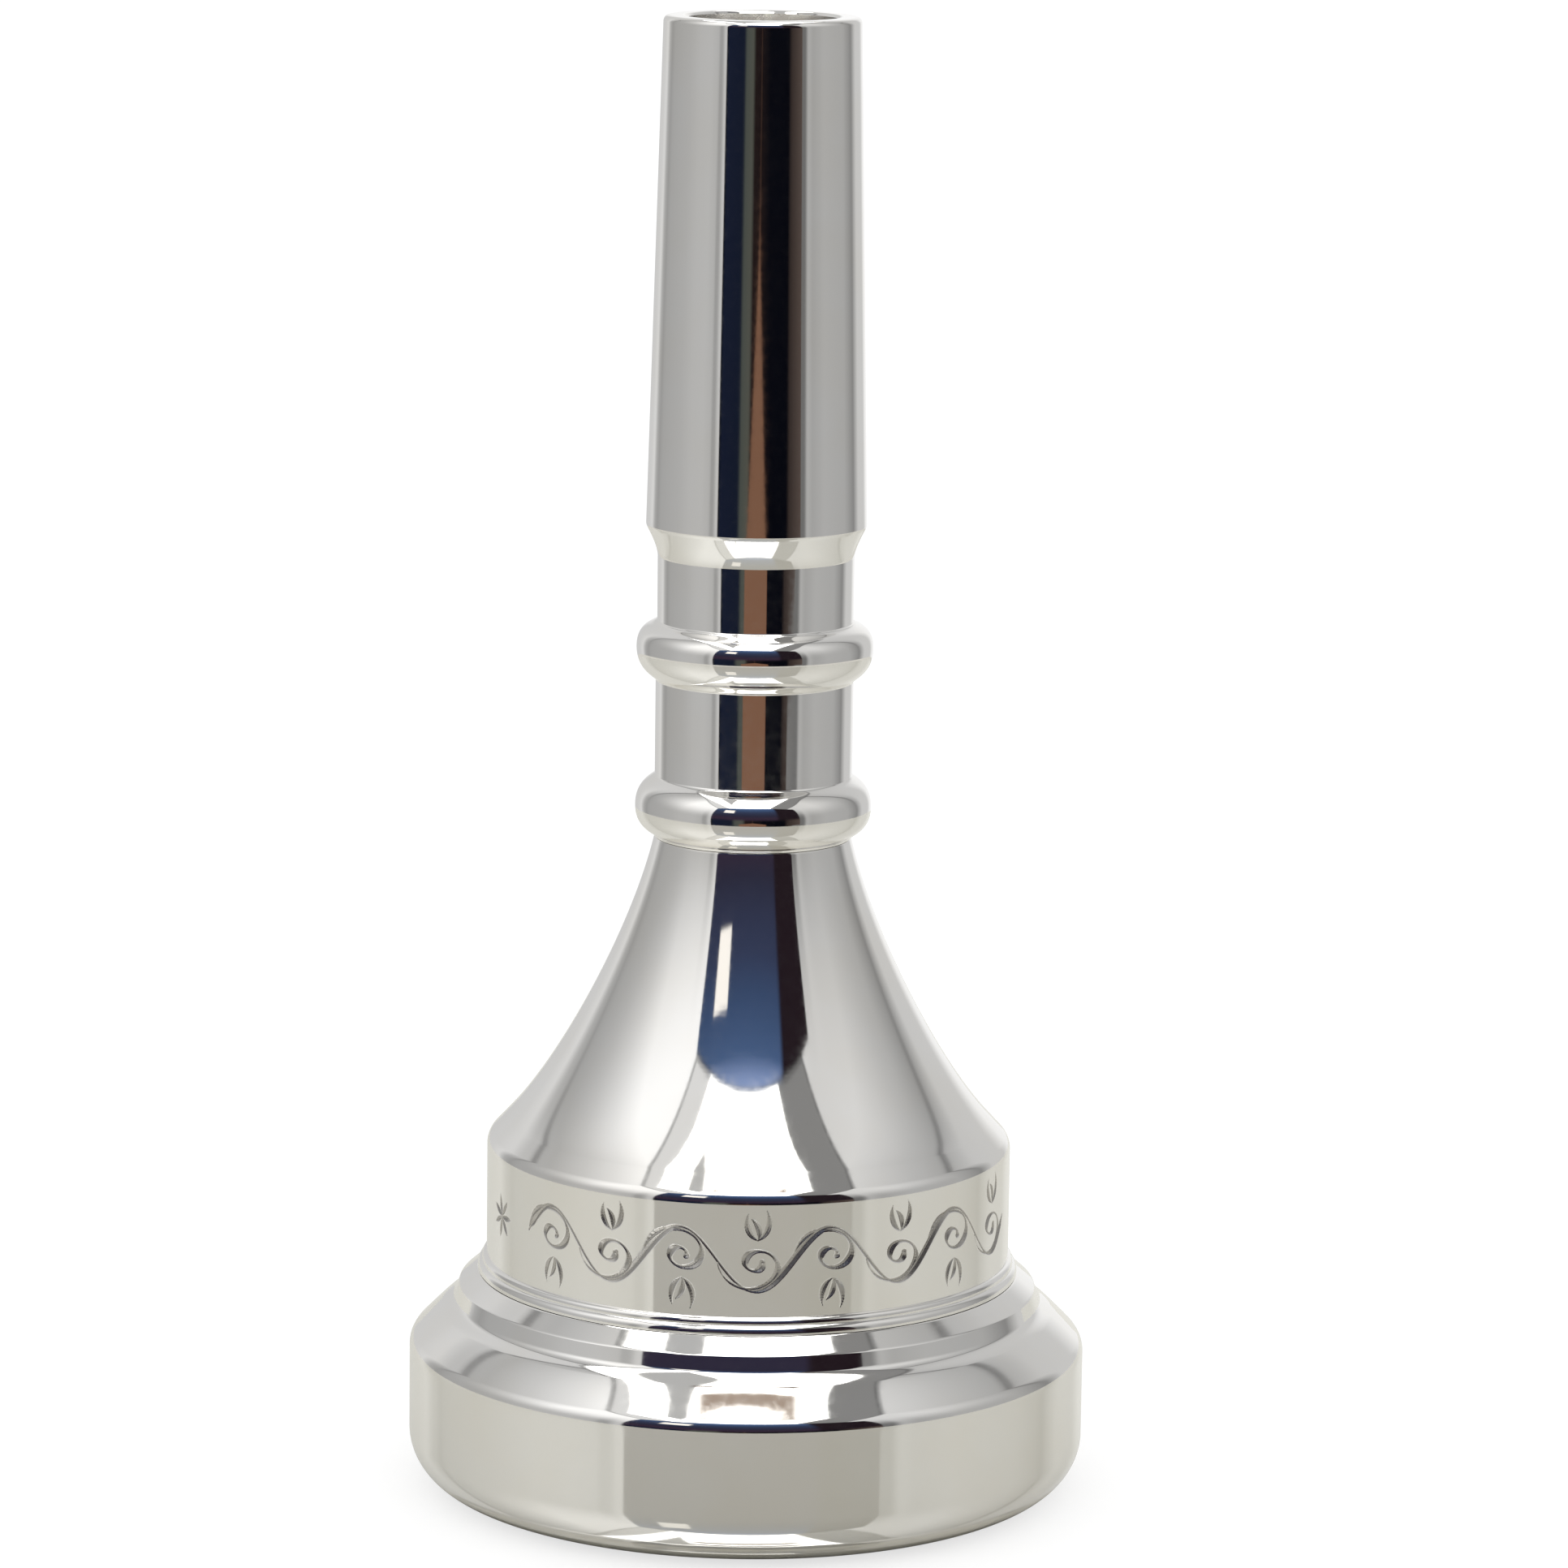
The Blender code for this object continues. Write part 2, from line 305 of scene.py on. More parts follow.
def spin(name, legs, materials, body, node):
    """Make one closed turned part from its legs and let it stand for its CAD node."""
    vertices, cuts, faces, corner_normals, finishes = [], [], [], [], []
    first_ring = None
    last_ring = None
    for number, leg in enumerate(legs):
        fine = leg.relief is not None and leg.finish == POLISHED
        angles, starts = columns(fine)
        places, normals, relief = surface(leg, angles)
        rings = []
        for row in range(len(places)):
            at_end = row in (0, len(places) - 1)
            picked = starts if at_end else range(len(angles))
            if row == 0 and last_ring is not None:
                ids = last_ring[0]
            elif row == len(places) - 1 and number == len(legs) - 1:
                ids = first_ring
            else:
                ids = list(range(len(vertices), len(vertices) + len(picked)))
                vertices.extend((places[row, list(picked)] * MM).tolist())
                cuts.extend((-relief[row, list(picked)]).tolist() if fine else [0.0] * len(ids))
            ring_starts = list(range(SEGMENTS)) if at_end else starts
            rings.append((ids, ring_starts, normals[row, list(picked)]))
            if first_ring is None:
                first_ring = ids
        last_ring = rings[-1]
        for below, above in zip(rings, rings[1:]):
            for i in range(SEGMENTS):
                corners = [(below, c) for c in run(below, i)]
                corners += [(above, c) for c in reversed(run(above, i))]
                if len(corners) == 4 or below[1] is not above[1]:
                    quads = [corners]
                else:
                    low, high = run(below, i), run(above, i)
                    quads = [[(below, a), (below, b), (above, d), (above, c)]
                             for a, b, c, d in zip(low, low[1:], high, high[1:])]
                for quad in quads:
                    faces.append([ring[0][c] for ring, c in quad])
                    corner_normals.extend(ring[2][c] for ring, c in quad)
                    finishes.append(leg.finish)
    mesh = bpy.data.meshes.new(name)
    mesh.from_pydata(vertices, [], faces)
    for material in materials:
        mesh.materials.append(material)
    mesh.polygons.foreach_set("material_index", finishes)
    mesh.shade_smooth()
    mesh.normals_split_custom_set(corner_normals)
    if max(cuts) > 0:
        mesh.attributes.new("cut", "FLOAT", "POINT").data.foreach_set("value", cuts)
    piece = bpy.data.objects.new(name, mesh)
    bpy.context.scene.collection.objects.link(piece)
    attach(piece, body)
    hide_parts(node)
    return piece


def run(ring, segment):
    """Columns of a ring from one segment's start to the next one's."""
    ids, starts, _ = ring
    first = starts[segment]
    last = starts[segment + 1] if segment + 1 < SEGMENTS else len(ids)
    return list(range(first, last)) + [last % len(ids)]


# ---- the parts' profiles ----------------------------------------------------------------
def rim_legs():
    """Rim: land, rounded edge, ogee shoulder, flange, threaded tenon, bowl and bite."""
    knee = arc((RIM_RADIUS - RIM_KNEE, RIM_SIDE_TOP), RIM_KNEE, RIM_KNEE, 0, 45, 24)
    shoulder_end = (17.43, 9.98)
    flange_foot = (16.64, 10.66)
    seat_edge = 15.40
    root = RIM_THREAD.root
    neck, neck_top = root - 0.08, 13.00
    chamfer = 0.30
    return [
        rounded([(LAND_INSIDE, 0.0), (RIM_RADIUS - RIM_EDGE, 0.0)]),
        arc((RIM_RADIUS - RIM_EDGE, RIM_EDGE), RIM_EDGE, RIM_EDGE, -90, 0, 30),
        rounded([(RIM_RADIUS, RIM_EDGE), (RIM_RADIUS, RIM_SIDE_TOP)]),
        knee,
        curve(knee.points[-1], (18.42, 9.03), (17.86, 9.60), shoulder_end, 24),
        curve(shoulder_end, (17.07, 10.28), (16.73, 10.37), flange_foot, 24),
        rounded([flange_foot, (16.42, 11.40), (16.36, 11.46), (15.46, 12.21),
                 (seat_edge, RIM_SEAT), (seat_edge - 0.04, RIM_SEAT)]),
        rounded([(seat_edge - 0.04, RIM_SEAT), (neck, RIM_SEAT), (neck, neck_top),
                 (root, RIM_THREAD.low)], EDGE, MACHINED),
        thread_leg(RIM_THREAD, root, RIM_THREAD.low, RIM_THREAD.high, male=True),
        rounded([(root, RIM_THREAD.high), (root, RIM_TENON_END - chamfer),
                 (root - chamfer, RIM_TENON_END), (bowl_radius(RIM_TENON_END), RIM_TENON_END)],
                EDGE, MACHINED),
        bowl(RIM_TENON_END, BITE_HEIGHT, 40),
        arc((LAND_INSIDE, BITE_HEIGHT), LAND_INSIDE - CUP_RADIUS, BITE_HEIGHT, 180, 270, 24),
    ]


def bowl_radius(height):
    """Radius of the bowl at a height."""
    points = curve(*BOWL, 400).points
    return float(np.interp(height, points[:, 1], points[:, 0]))


def cup_legs():
    """Cup: foot of two small beads, engraved band, shoulder, flare, sockets and bowl."""
    foot = RIM_SEAT + JOINT_GAP
    mouth = RIM_THREAD.root + RIM_THREAD.depth + RIM_THREAD.clearance
    socket = SHANK_THREAD.root + SHANK_THREAD.depth + SHANK_THREAD.clearance
    groove_roof = RIM_SEAL.height + RIM_SEAL.section + JOINT_GAP
    groove_inside, groove_outside = 11.72, 12.98
    ledge = RIM_TENON_END + 0.20
    seal_wall, seal_floor = socket + 0.12, 35.90
    lead_in, lead_in_top = mouth + 0.35, 12.70
    throat_low, throat_high = 28.4, SHANK_TENON_END - 0.25
    flare_foot = (13.743, 21.08)
    flare_top = (5.58, CUP_TOP - 0.10)
    knee = arc((BAND_RADIUS - BAND_KNEE, BAND_HIGH), BAND_KNEE, BAND_KNEE, 0, 43, 24)
    return [
        rounded([(15.30, foot), (15.36, foot), (15.38, foot + 0.04)], 0.02),
        curve((15.38, foot + 0.04), (15.38, 12.52), (15.32, 12.68), (15.15, 12.78), 16),
        rounded([(15.15, 12.78), (15.13, 12.80), (15.13, 12.84)], 0.02),
        curve((15.13, 12.84), (15.13, 13.00), (15.07, 13.12), (14.92, 13.18), 16),
        rounded([(14.92, 13.18), (BAND_RADIUS, 13.20), (BAND_RADIUS, BAND_LOW)]),
        band_leg(BAND_LOW, BAND_HIGH - 0.04),
        rounded([(BAND_RADIUS, BAND_HIGH - 0.04), (BAND_RADIUS, BAND_HIGH)]),
        knee,
        curve(knee.points[-1], (14.30, 20.48), (14.02, 20.78), flare_foot, 8),
        curve(flare_foot, (10.935, 24.077), (6.88, 31.60), flare_top, 90),
        rounded([flare_top, (5.55, CUP_TOP), (5.40, CUP_TOP)]),
        rounded([(5.40, CUP_TOP), (seal_wall, CUP_TOP), (seal_wall, seal_floor),
                 (socket, 35.75), (socket, SHANK_THREAD.high)], EDGE, MACHINED),
        thread_leg(SHANK_THREAD, socket, SHANK_THREAD.high, SHANK_THREAD.low, male=False),
        rounded([(socket, SHANK_THREAD.low), (socket, throat_high), (THROAT_RADIUS, throat_high),
                 (THROAT_RADIUS, throat_low)], EDGE, MACHINED),
        curve((THROAT_RADIUS, throat_low), (THROAT_RADIUS, 27.2), (3.6, 26.6), BOWL[-1], 10),
        bowl(BOWL[-1][1], ledge, 40),
        rounded([(bowl_radius(ledge), ledge), (groove_inside, ledge),
                 (groove_inside, groove_roof), (groove_outside, groove_roof),
                 (groove_outside, ledge), (mouth, ledge), (mouth, RIM_THREAD.high)], EDGE, MACHINED),
        thread_leg(RIM_THREAD, mouth, RIM_THREAD.high, RIM_THREAD.low, male=False),
        rounded([(mouth, RIM_THREAD.low), (mouth, lead_in_top), (lead_in, foot),
                 (15.30, foot)], EDGE, MACHINED),
    ]


def band_leg(low, high):
    """The engraved band of the cup."""
    rows = round((high - low) / FINE_ROW)
    cuts = vine()
    cuts += rosette(ROSETTE_ACROSS, ROSETTE_UP, ROSETTE_PETALS, ROSETTE_SIZE)

    def relief(height, angle):
        across = BAND_RADIUS * (angle[0] - 1.5 * math.pi)
        return -cut_depth(cuts, across, height[:, 0])

    points = np.stack([np.full(rows + 1, BAND_RADIUS), np.linspace(low, high, rows + 1)], axis=1)
    return make_leg(points, np.tile([0.0, 1.0], (rows + 1, 1)), POLISHED, relief)


def bead(centre, low, high):
    """One bead between two necks."""
    reach = 1.26
    foot = NECK_RADIUS + 0.03
    return [
        curve((foot, low), (foot + 0.16, low + 0.22), (BEAD_RADIUS, centre - reach),
              (BEAD_RADIUS, centre), 28),
        curve((BEAD_RADIUS, centre), (BEAD_RADIUS, centre + reach), (foot + 0.16, high - 0.22),
              (foot, high), 28),
    ]


def shank_legs():
    """Shank: threaded tenon, two beads and necks, tapered shank and backbore."""
    collar = CUP_TOP + JOINT_GAP
    root = SHANK_THREAD.root
    groove = SHANK_SEAL.radius - SHANK_SEAL.section - JOINT_GAP
    groove_low, groove_high = 35.98, 36.78
    lip, shoulder = 4.30, 4.35    # radii below and above the seal's groove
    foot = NECK_RADIUS + 0.03
    cove_low, cove_high = (5.52, 53.25), (6.14, 54.90)
    return [
        rounded([(THROAT_RADIUS, SHANK_TENON_END), (root - 0.20, SHANK_TENON_END),
                 (root, SHANK_TENON_END + 0.20), (root, SHANK_THREAD.low)], EDGE, MACHINED),
        thread_leg(SHANK_THREAD, root, SHANK_THREAD.low, SHANK_THREAD.high, male=True),
        rounded([(root, SHANK_THREAD.high), (root, 35.72), (lip, 35.82), (lip, groove_low),
                 (groove, groove_low), (groove, groove_high), (shoulder, groove_high),
                 (shoulder, collar), (5.40, collar)], EDGE, MACHINED),
        rounded([(5.40, collar), (5.57, collar), (foot, collar + 0.10)]),
        *bead(LOWER_BEAD, collar + 0.10, LOWER_BEAD_TOP),
        rounded([(foot, LOWER_BEAD_TOP), (NECK_RADIUS, 40.86), (NECK_RADIUS, 46.24),
                 (foot, UPPER_BEAD_LOW)]),
        *bead(UPPER_BEAD, UPPER_BEAD_LOW, UPPER_BEAD_TOP),
        rounded([(foot, UPPER_BEAD_TOP), (5.51, 49.63), cove_low]),
        curve(cove_low, (5.56, 53.75), (5.85, 54.35), cove_high, 24),
        rounded([cove_high, (SHANK_RADIUS, TAPER_FOOT), (TIP_RADIUS, LENGTH - 0.25),
                 (TIP_RADIUS - 0.12, LENGTH - 0.06), (TIP_RADIUS - 0.30, LENGTH),
                 (TIP_BORE_RADIUS + 0.16, LENGTH), (TIP_BORE_RADIUS, LENGTH - 0.16)],
                SOFT_EDGE),
        rounded([(TIP_BORE_RADIUS, LENGTH - 0.16), (THROAT_RADIUS, BACKBORE_LOW),
                 (THROAT_RADIUS, SHANK_TENON_END)], EDGE, MACHINED),
    ]


def seal_legs(seal):
    """A round-section ring with the fine ridges where its mould's halves met."""
    legs = []
    ridge = 0.03
    for side in (0, 180):
        legs.append(arc((seal.radius, seal.height), seal.section, seal.section,
                        side - 86, side - 4, 14))
        ends = [(seal.radius + (seal.section + lift) * math.cos(math.radians(side + a)),
                 seal.height + (seal.section + lift) * math.sin(math.radians(side + a)))
                for a, lift in ((-4, 0), (0, ridge), (4, 0))]
        legs.append(rounded(ends, 0.01))
        legs.append(arc((seal.radius, seal.height), seal.section, seal.section,
                        side + 4, side + 94, 14))
    return legs


# ---- node trees -------------------------------------------------------------------------
class Graph:
    """Short calls for building one node tree."""

    def __init__(self, tree):
        self.tree = tree
        tree.nodes.clear()

    def add(self, kind, inputs=(), **settings):
        """A node with its settings, its inputs given by name as values or sockets."""
        node = self.tree.nodes.new(kind)
        for key, value in settings.items():
            setattr(node, key, value)
        for key, value in dict(inputs).items():
            self.feed(node.inputs[key], value)
        return node

    def feed(self, socket, value):
        if isinstance(value, bpy.types.NodeSocket):
            self.tree.links.new(value, socket)
        else:
            socket.default_value = value

    def math(self, operation, *values):
        node = self.tree.nodes.new("ShaderNodeMath")
        node.operation = operation
        for socket, value in zip(node.inputs, values):
            self.feed(socket, value)
        return node.outputs[0]

    def span(self, value, start, end, low=0.0, high=1.0):
        """Goes smoothly from low to high as value goes from start to end."""
        node = self.add("ShaderNodeMapRange", interpolation_type="SMOOTHSTEP")
        for key, item in (("Value", value), ("From Min", start), ("From Max", end),
                          ("To Min", low), ("To Max", high)):
            self.feed(node.inputs[key], item)
        return node.outputs["Result"]

    def mix(self, factor, a, b):
        node = self.tree.nodes.new("ShaderNodeMix")
        node.data_type = "RGBA"
        self.feed(node.inputs[0], factor)
        for index, colour in ((6, a), (7, b)):
            self.feed(node.inputs[index], colour)
        return node.outputs[2]

    def ramp(self, value, stops):
        """A colour from stops of (position 0 to 1, colour)."""
        node = self.add("ShaderNodeValToRGB", {"Fac": value})
        elements = node.color_ramp.elements
        while len(elements) > 1:
            elements.remove(elements[-1])
        elements[0].position, elements[0].color = stops[0]
        for position, colour in stops[1:]:
            elements.new(position).color = colour
        return node.outputs["Color"]


def seen(red, green=None, blue=None):
    """A linear colour from screen levels of 0 to 255; one level alone is a grey."""
    levels = (red, red if green is None else green, red if blue is None else blue)
    linear = [(v / 255 / 12.92) if v < 10.3 else ((v / 255 + 0.055) / 1.055) ** 2.4
              for v in levels]
    return (*linear, 1.0)


# ---- the light tent ---------------------------------------------------------------------
# Directions are degrees round from the front, positive to the right, and degrees up.
# Greys along the walls: low down, then up near the ceiling.
WALL_LOW = ((-180, 245), (-168, 196), (-150, 200), (-140, 210), (-133, 166), (-127, 150),
            (-120, 160), (-90, 168), (-75, 176), (-60, 178), (-51, 172), (-49, 150),
            (-46, 152), (-43, 190), (48, 105), (51, 108), (54, 170), (60, 158), (75, 168),
            (105, 163), (118, 140), (122, 130), (127, 165), (133, 194), (150, 195),
            (160, 235), (180, 245))
WALL_HIGH = ((-180, 200), (-130, 200), (-127.5, 105), (-125, 176), (-120, 172), (-105, 197),
             (-90, 225), (-75, 254), (-45, 252), (48, 205), (75, 211), (90, 198), (105, 180),
             (119, 165), (121.5, 100), (124, 176), (135, 187), (180, 200))
# The room beyond the opening: dark cloth and a strip of brown wood low down, blue higher up.
ROOM_LOW = ((-41, (6, 7, 12)), (-38, (20, 26, 44)), (-20, (18, 24, 40)), (-17, (70, 74, 70)),
            (-10, (76, 78, 72)), (-7, (30, 22, 22)), (6, (14, 12, 16)), (10, (5, 6, 13)),
            (31, (5, 6, 13)), (34, (50, 42, 40)), (45, (76, 66, 62)), (50, (90, 70, 64)))
ROOM_HIGH = ((11, (50, 38, 54)), (20, (40, 40, 58)), (33, (48, 56, 82)), (38, (53, 70, 102)),
             (45, (66, 88, 126)), (50, (140, 160, 205)))
BROWN = (118, 86, 68)
OPENING_LEFT, OPENING_RIGHT, OPENING_TOP = -0.87, 1.06, 1.20   # on a plane one unit away
FLOOR_SEEN = (206, 204, 197)
# The brown strip starts at a height and widens as it goes down, degrees.
BROWN_TOP, BROWN_SLOPE, BROWN_HALF = -2.8, 3.7, 13.0
WINDOW_LEFT, WINDOW_RIGHT, WINDOW_LOW, WINDOW_HIGH = -31, -19, 28.5, 39.5
MIRRORED_STRENGTH, PLAIN_STRENGTH = 1.08, 1.3


def build_tent():
    """The world: plain white for everything but mirrors, which see the tent."""
    world = bpy.data.worlds.new("light_tent")
    bpy.context.scene.world = world
    world.use_nodes = True
    g = Graph(world.node_tree)
    way = g.add("ShaderNodeSeparateXYZ", {0: g.add("ShaderNodeTexCoord").outputs["Generated"]})
    x, y, z = way.outputs
    front = g.math("MULTIPLY", y, -1.0)
    azimuth = g.math("DEGREES", g.math("ARCTAN2", x, front))
    height = g.math("DEGREES", g.math("ARCSINE", z))
    lap = g.math("DIVIDE", g.math("ADD", azimuth, 180.0), 360.0)

    def round_ramp(stops):
        return g.ramp(lap, [((a + 180) / 360, seen(*np.atleast_1d(c))) for a, c in stops])

    walls = g.mix(g.span(height, 6, 46), round_ramp(WALL_LOW), round_ramp(WALL_HIGH))
    room = room_view(g, azimuth, height, round_ramp)
    colour = g.mix(opening_mask(g, x, front, z, height), walls, room)
    colour = ceiling_view(g, x, front, z, azimuth, height, colour)
    colour = g.mix(g.span(height, -12.0, -11.4), seen(*FLOOR_SEEN), colour)

    mirrored = g.add("ShaderNodeBackground", {"Color": colour, "Strength": MIRRORED_STRENGTH})
    plain = g.add("ShaderNodeBackground", {"Color": (1, 1, 1, 1),
                                           "Strength": PLAIN_STRENGTH})
    rays = g.add("ShaderNodeLightPath")
    chosen = g.add("ShaderNodeMixShader", {0: rays.outputs["Is Glossy Ray"],
                                           1: plain.outputs[0], 2: mirrored.outputs[0]})
    g.add("ShaderNodeOutputWorld", {"Surface": chosen.outputs[0]})


def room_view(g, azimuth, height, round_ramp):
    """What shows through the opening."""
    spread = g.math("MULTIPLY", g.math("SUBTRACT", BROWN_TOP, height), BROWN_SLOPE)
    spread = g.math("MINIMUM", g.math("MAXIMUM", spread, 0.0), BROWN_HALF)
    inside = g.math("SUBTRACT", spread, g.math("ABSOLUTE", azimuth))
    low = g.mix(g.span(inside, -0.4, 0.4), round_ramp(ROOM_LOW), seen(*BROWN))
    up = g.math("DIVIDE", height, 60.0)
    high = g.ramp(up, [(a / 60, seen(*c)) for a, c in ROOM_HIGH])
    high = g.mix(g.span(azimuth, 23, 27), high, seen(30, 21, 27))
    window = g.math("MULTIPLY", g.span(azimuth, WINDOW_LEFT, WINDOW_LEFT + 1),
                    g.span(azimuth, WINDOW_RIGHT, WINDOW_RIGHT - 1))
    window = g.math("MULTIPLY", window, g.span(height, WINDOW_LOW, WINDOW_LOW + 0.5))
    window = g.math("MULTIPLY", window, g.span(height, WINDOW_HIGH, WINDOW_HIGH - 0.5))
    high = g.mix(window, high, seen(250, 246, 240))
    return g.mix(g.span(height, 1, 10), low, high)


def opening_mask(g, x, front, z, height):
    """1 where the tent's front opening is."""
    across = g.math("DIVIDE", x, g.math("MAXIMUM", front, 0.01))
    up = g.math("DIVIDE", z, g.math("MAXIMUM", front, 0.01))
    right = g.span(height, -9.9, -8.8, 0.80, OPENING_RIGHT)
    mask = g.span(across, OPENING_LEFT - 0.01, OPENING_LEFT + 0.01)
    mask = g.math("MULTIPLY", mask, g.span(g.math("SUBTRACT", right, across), -0.01, 0.01))
    mask = g.math("MULTIPLY", mask, g.span(up, OPENING_TOP + 0.01, OPENING_TOP - 0.01))
    return g.math("MULTIPLY", mask, g.span(front, 0.0, 0.05))


def ceiling_view(g, x, front, z, azimuth, height, below):
    """The ceiling over the walls: a wide light panel and a strip, with grey cloth between."""
    bow = g.math("DIVIDE", g.math("SUBTRACT", 100.0, g.math("ABSOLUTE", azimuth)), 57.0)
    seam = g.math("SUBTRACT", 63.5, g.math("MULTIPLY", g.math("MULTIPLY", bow, bow), 19.0))
    lintel = g.math("MULTIPLY", g.math("COSINE", g.math("RADIANS", azimuth)), OPENING_TOP)
    seam = g.math("MAXIMUM", seam, g.math("DEGREES", g.math("ARCTANGENT", lintel)))
    over = g.math("SUBTRACT", height, seam)
    up = g.math("MAXIMUM", z, 0.01)
    across, out = g.math("DIVIDE", x, up), g.math("DIVIDE", front, up)
    left = g.math("SUBTRACT", -0.13, g.math("MULTIPLY", out, 0.35))
    panel = g.math("MULTIPLY", g.span(g.math("SUBTRACT", across, left), -0.01, 0.01),
                   g.span(across, 0.335, 0.315))
    strip = g.math("MULTIPLY", g.span(across, -0.47, -0.45), g.span(across, -0.30, -0.32))
    cloth = g.mix(g.span(across, 0.30, 0.34), seen(176), seen(128))
    cloth = g.mix(g.span(across, -0.45, -0.48), cloth, seen(214))
    lights = g.math("MAXIMUM", panel, strip)
    ceiling = g.mix(lights, cloth, (3.2, 3.2, 3.15, 1.0))
    middle = g.math("MULTIPLY", g.span(across, -0.22, -0.16), g.span(across, 0.24, 0.18))
    for start, end, colour in ((0.21, 0.29, (161, 144, 131)), (0.10, 0.16, (96, 78, 68))):
        rail = g.math("MULTIPLY", g.span(out, start, start + 0.01), g.span(out, end, end - 0.01))
        ceiling = g.mix(g.math("MULTIPLY", rail, middle), ceiling, seen(*colour))
    shown = g.mix(g.span(over, -0.3, 0.3), below, ceiling)
    line = g.math("MULTIPLY", g.span(over, -1.0, -0.4), g.span(over, 1.0, 0.4))
    return g.mix(g.math("MULTIPLY", line, 0.55), shown, seen(70))


# ---- materials --------------------------------------------------------------------------
def turned_height(g, scale, detail=2.0):
    """Noise that changes only along the profile, as a lathe leaves it."""
    place = g.add("ShaderNodeSeparateXYZ", {0: g.add("ShaderNodeTexCoord").outputs["Object"]})
    x, y, z = place.outputs
    radius = g.math("SQRT", g.math("ADD", g.math("MULTIPLY", x, x), g.math("MULTIPLY", y, y)))
    along = g.math("SUBTRACT", z, radius)
    noise = g.add("ShaderNodeTexNoise", {"W": along, "Scale": scale, "Detail": detail},
                  noise_dimensions="1D")
    return noise.outputs["Fac"]


def silver(name, tint, roughness, ripple, grain):
    """Silver plate: roughness and height of the lathe's ripples, mm, and of the fine marks. The
    engraved cuts carry painted shade, a darker colour in the grooves.
    """
    material = bpy.data.materials.new(name)
    material.use_nodes = True
    g = Graph(material.node_tree)
    where = g.add("ShaderNodeTexCoord").outputs["Object"]
    cloud = g.add("ShaderNodeTexNoise", {"Vector": where, "Scale": 180.0, "Detail": 3.0})
    haze = g.add("ShaderNodeTexNoise", {"Vector": where, "Scale": 2400.0, "Detail": 4.0})
    tone = g.mix(g.span(cloud.outputs["Fac"], 0.3, 0.75), (*tint, 1.0),
                 (tint[0] * 0.985, tint[1] * 0.975, tint[2] * 0.955, 1.0))
    # Painted shade: inside the engraved cuts the silver's colour is darkened towards a dull grey,
    # scaled by the cut's depth, and the cut is also made rougher.
    cut = g.add("ShaderNodeAttribute", attribute_name="cut").outputs["Fac"]
    inside = g.span(cut, 0.002, 0.02)
    tone = g.mix(g.math("MULTIPLY", inside, 0.75), tone, (0.34, 0.32, 0.29, 1.0))
    rough = g.span(haze.outputs["Fac"], 0.3, 0.8, roughness * 0.8, roughness * 1.35)
    rough = g.math("ADD", rough, g.math("MULTIPLY", inside, 0.22))
    waves = g.add("ShaderNodeBump", {"Height": turned_height(g, 900.0), "Strength": 1.0,
                                     "Distance": ripple * MM})
    marks = g.add("ShaderNodeBump", {"Height": turned_height(g, 9000.0, 3.0), "Strength": 1.0,
                                     "Distance": grain * MM, "Normal": waves.outputs[0]})
    shader = g.add("ShaderNodeBsdfPrincipled", {"Base Color": tone, "Metallic": 1.0,
                                                "Roughness": rough, "Normal": marks.outputs[0]})
    g.add("ShaderNodeOutputMaterial", {"Surface": shader.outputs[0]})
    return material


def rubber():
    """Black nitrile rubber with a fine moulded skin."""
    material = bpy.data.materials.new("seal_rubber_looks")
    material.use_nodes = True
    g = Graph(material.node_tree)
    where = g.add("ShaderNodeTexCoord").outputs["Object"]
    skin = g.add("ShaderNodeTexNoise", {"Vector": where, "Scale": 6000.0, "Detail": 3.0})
    bloom = g.add("ShaderNodeTexNoise", {"Vector": where, "Scale": 500.0, "Detail": 3.0})
    tone = g.mix(g.span(bloom.outputs["Fac"], 0.35, 0.75), (0.018, 0.018, 0.019, 1.0),
                 (0.035, 0.035, 0.034, 1.0))
    rough = g.span(bloom.outputs["Fac"], 0.3, 0.8, 0.42, 0.62)
    bump = g.add("ShaderNodeBump", {"Height": skin.outputs["Fac"], "Distance": 0.01 * MM})
    shader = g.add("ShaderNodeBsdfPrincipled", {"Base Color": tone, "Roughness": rough,
                                                "Normal": bump.outputs[0]})
    g.add("ShaderNodeOutputMaterial", {"Surface": shader.outputs[0]})
    return material


# ---- stage ------------------------------------------------------------------------------
# Radii of the floor and of the sheet over it, and how far each lies below the rim, metres.
FLOOR_RADIUS, FLOOR_GAP = 6.0, 0.0002
SHEET_RADIUS, SHEET_GAP = 0.2, 0.0001


def disc(name, radius, height, segments=96):
    """A flat round sheet."""
    ring = [(radius * math.cos(2 * math.pi * i / segments),
             radius * math.sin(2 * math.pi * i / segments), height) for i in range(segments)]
    mesh = bpy.data.meshes.new(name)
    mesh.from_pydata(ring, [], [list(range(segments))])
    sheet = bpy.data.objects.new(name, mesh)
    bpy.context.scene.collection.objects.link(sheet)
    return sheet


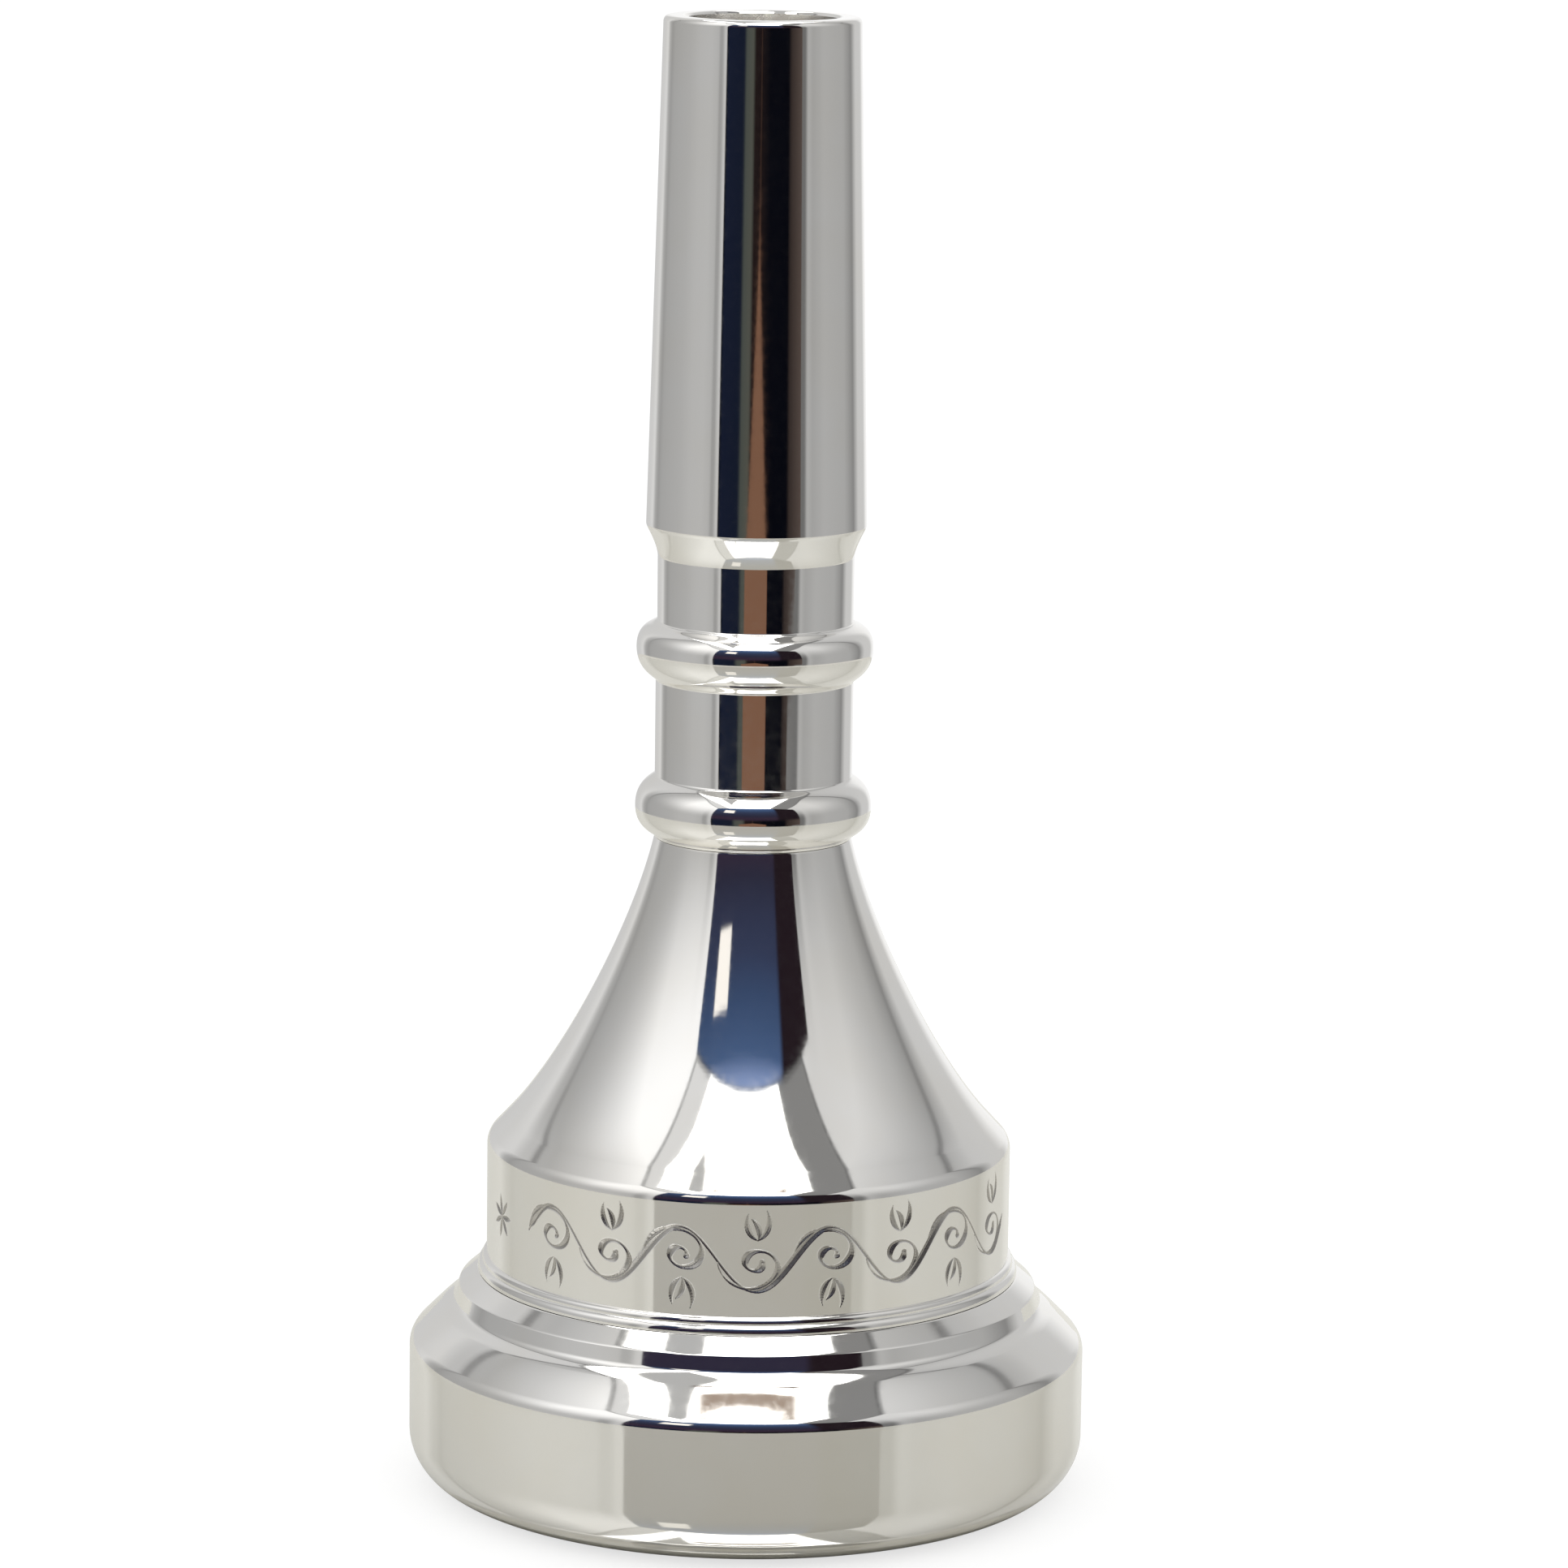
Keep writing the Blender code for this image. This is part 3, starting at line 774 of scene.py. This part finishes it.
def build_floor():
    """A white floor for the camera, and the glossy white sheet that the silver mirrors."""
    floor = disc("floor", FLOOR_RADIUS, -FLOOR_GAP)
    floor.visible_glossy = False
    material = bpy.data.materials.new("floor_paper")
    material.use_nodes = True
    g = Graph(material.node_tree)
    paper = g.add("ShaderNodeBsdfDiffuse", {"Color": (0.97, 0.97, 0.965, 1.0)})
    lit = g.add("ShaderNodeEmission", {"Color": (1.0, 1.0, 1.0, 1.0), "Strength": 1.0})
    both = g.add("ShaderNodeMixShader", {0: 0.7, 1: paper.outputs[0], 2: lit.outputs[0]})
    g.add("ShaderNodeOutputMaterial", {"Surface": both.outputs[0]})
    floor.data.materials.append(material)

    sheet = disc("floor_sheet", SHEET_RADIUS, -SHEET_GAP)
    sheet.visible_camera = False
    sheet.visible_diffuse = False
    sheet.visible_shadow = False
    material = bpy.data.materials.new("floor_acrylic")
    material.use_nodes = True
    g = Graph(material.node_tree)
    base = g.add("ShaderNodeBsdfDiffuse", {"Color": (0.56, 0.55, 0.49, 1.0)})
    gloss = g.add("ShaderNodeBsdfGlossy", {"Color": (1, 1, 1, 1), "Roughness": 0.03})
    both = g.add("ShaderNodeMixShader", {0: 0.42, 1: base.outputs[0], 2: gloss.outputs[0]})
    g.add("ShaderNodeOutputMaterial", {"Surface": both.outputs[0]})
    sheet.data.materials.append(material)


def add_camera():
    """A long lens a little above the mouthpiece, aimed just right of its axis."""
    distance, aim_height, aside = 0.366, 0.04026, 0.00173
    pitch, roll = math.radians(10.4), math.radians(0.78)
    data = bpy.data.cameras.new("camera")
    data.sensor_width = 36.0
    data.lens = 149.1
    data.clip_start, data.clip_end = 0.01, 50.0
    camera = bpy.data.objects.new("camera", data)
    bpy.context.scene.collection.objects.link(camera)
    turn = Matrix.Rotation(math.pi / 2 - pitch, 4, "X") @ Matrix.Rotation(roll, 4, "Z")
    place = Matrix.Translation((aside, -distance * math.cos(pitch),
                                aim_height + distance * math.sin(pitch)))
    camera.matrix_world = place @ turn
    bpy.context.scene.camera = camera


# ---- everything -------------------------------------------------------------------------
plate = silver("silver_plate_polished", (0.955, 0.945, 0.925), 0.055, 0.0006, 0.00002)
machined = silver("silver_plate_machined", (0.90, 0.885, 0.855), 0.20, 0.002, 0.0004)
seal_skin = rubber()
spin("rim_silver", rim_legs(), (plate, machined), "rim", "rim")
spin("cup_silver", cup_legs(), (plate, machined), "cup", "cup")
spin("shank_silver", shank_legs(), (plate, machined), "shank", "shank")
spin("rim_o_ring", seal_legs(RIM_SEAL), (seal_skin,), "rim_seal", "rim_seal")
spin("shank_o_ring", seal_legs(SHANK_SEAL), (seal_skin,), "shank_seal",
     "shank_seal")

build_floor()
build_tent()
add_camera()
bpy.context.scene.view_settings.view_transform = "Standard"
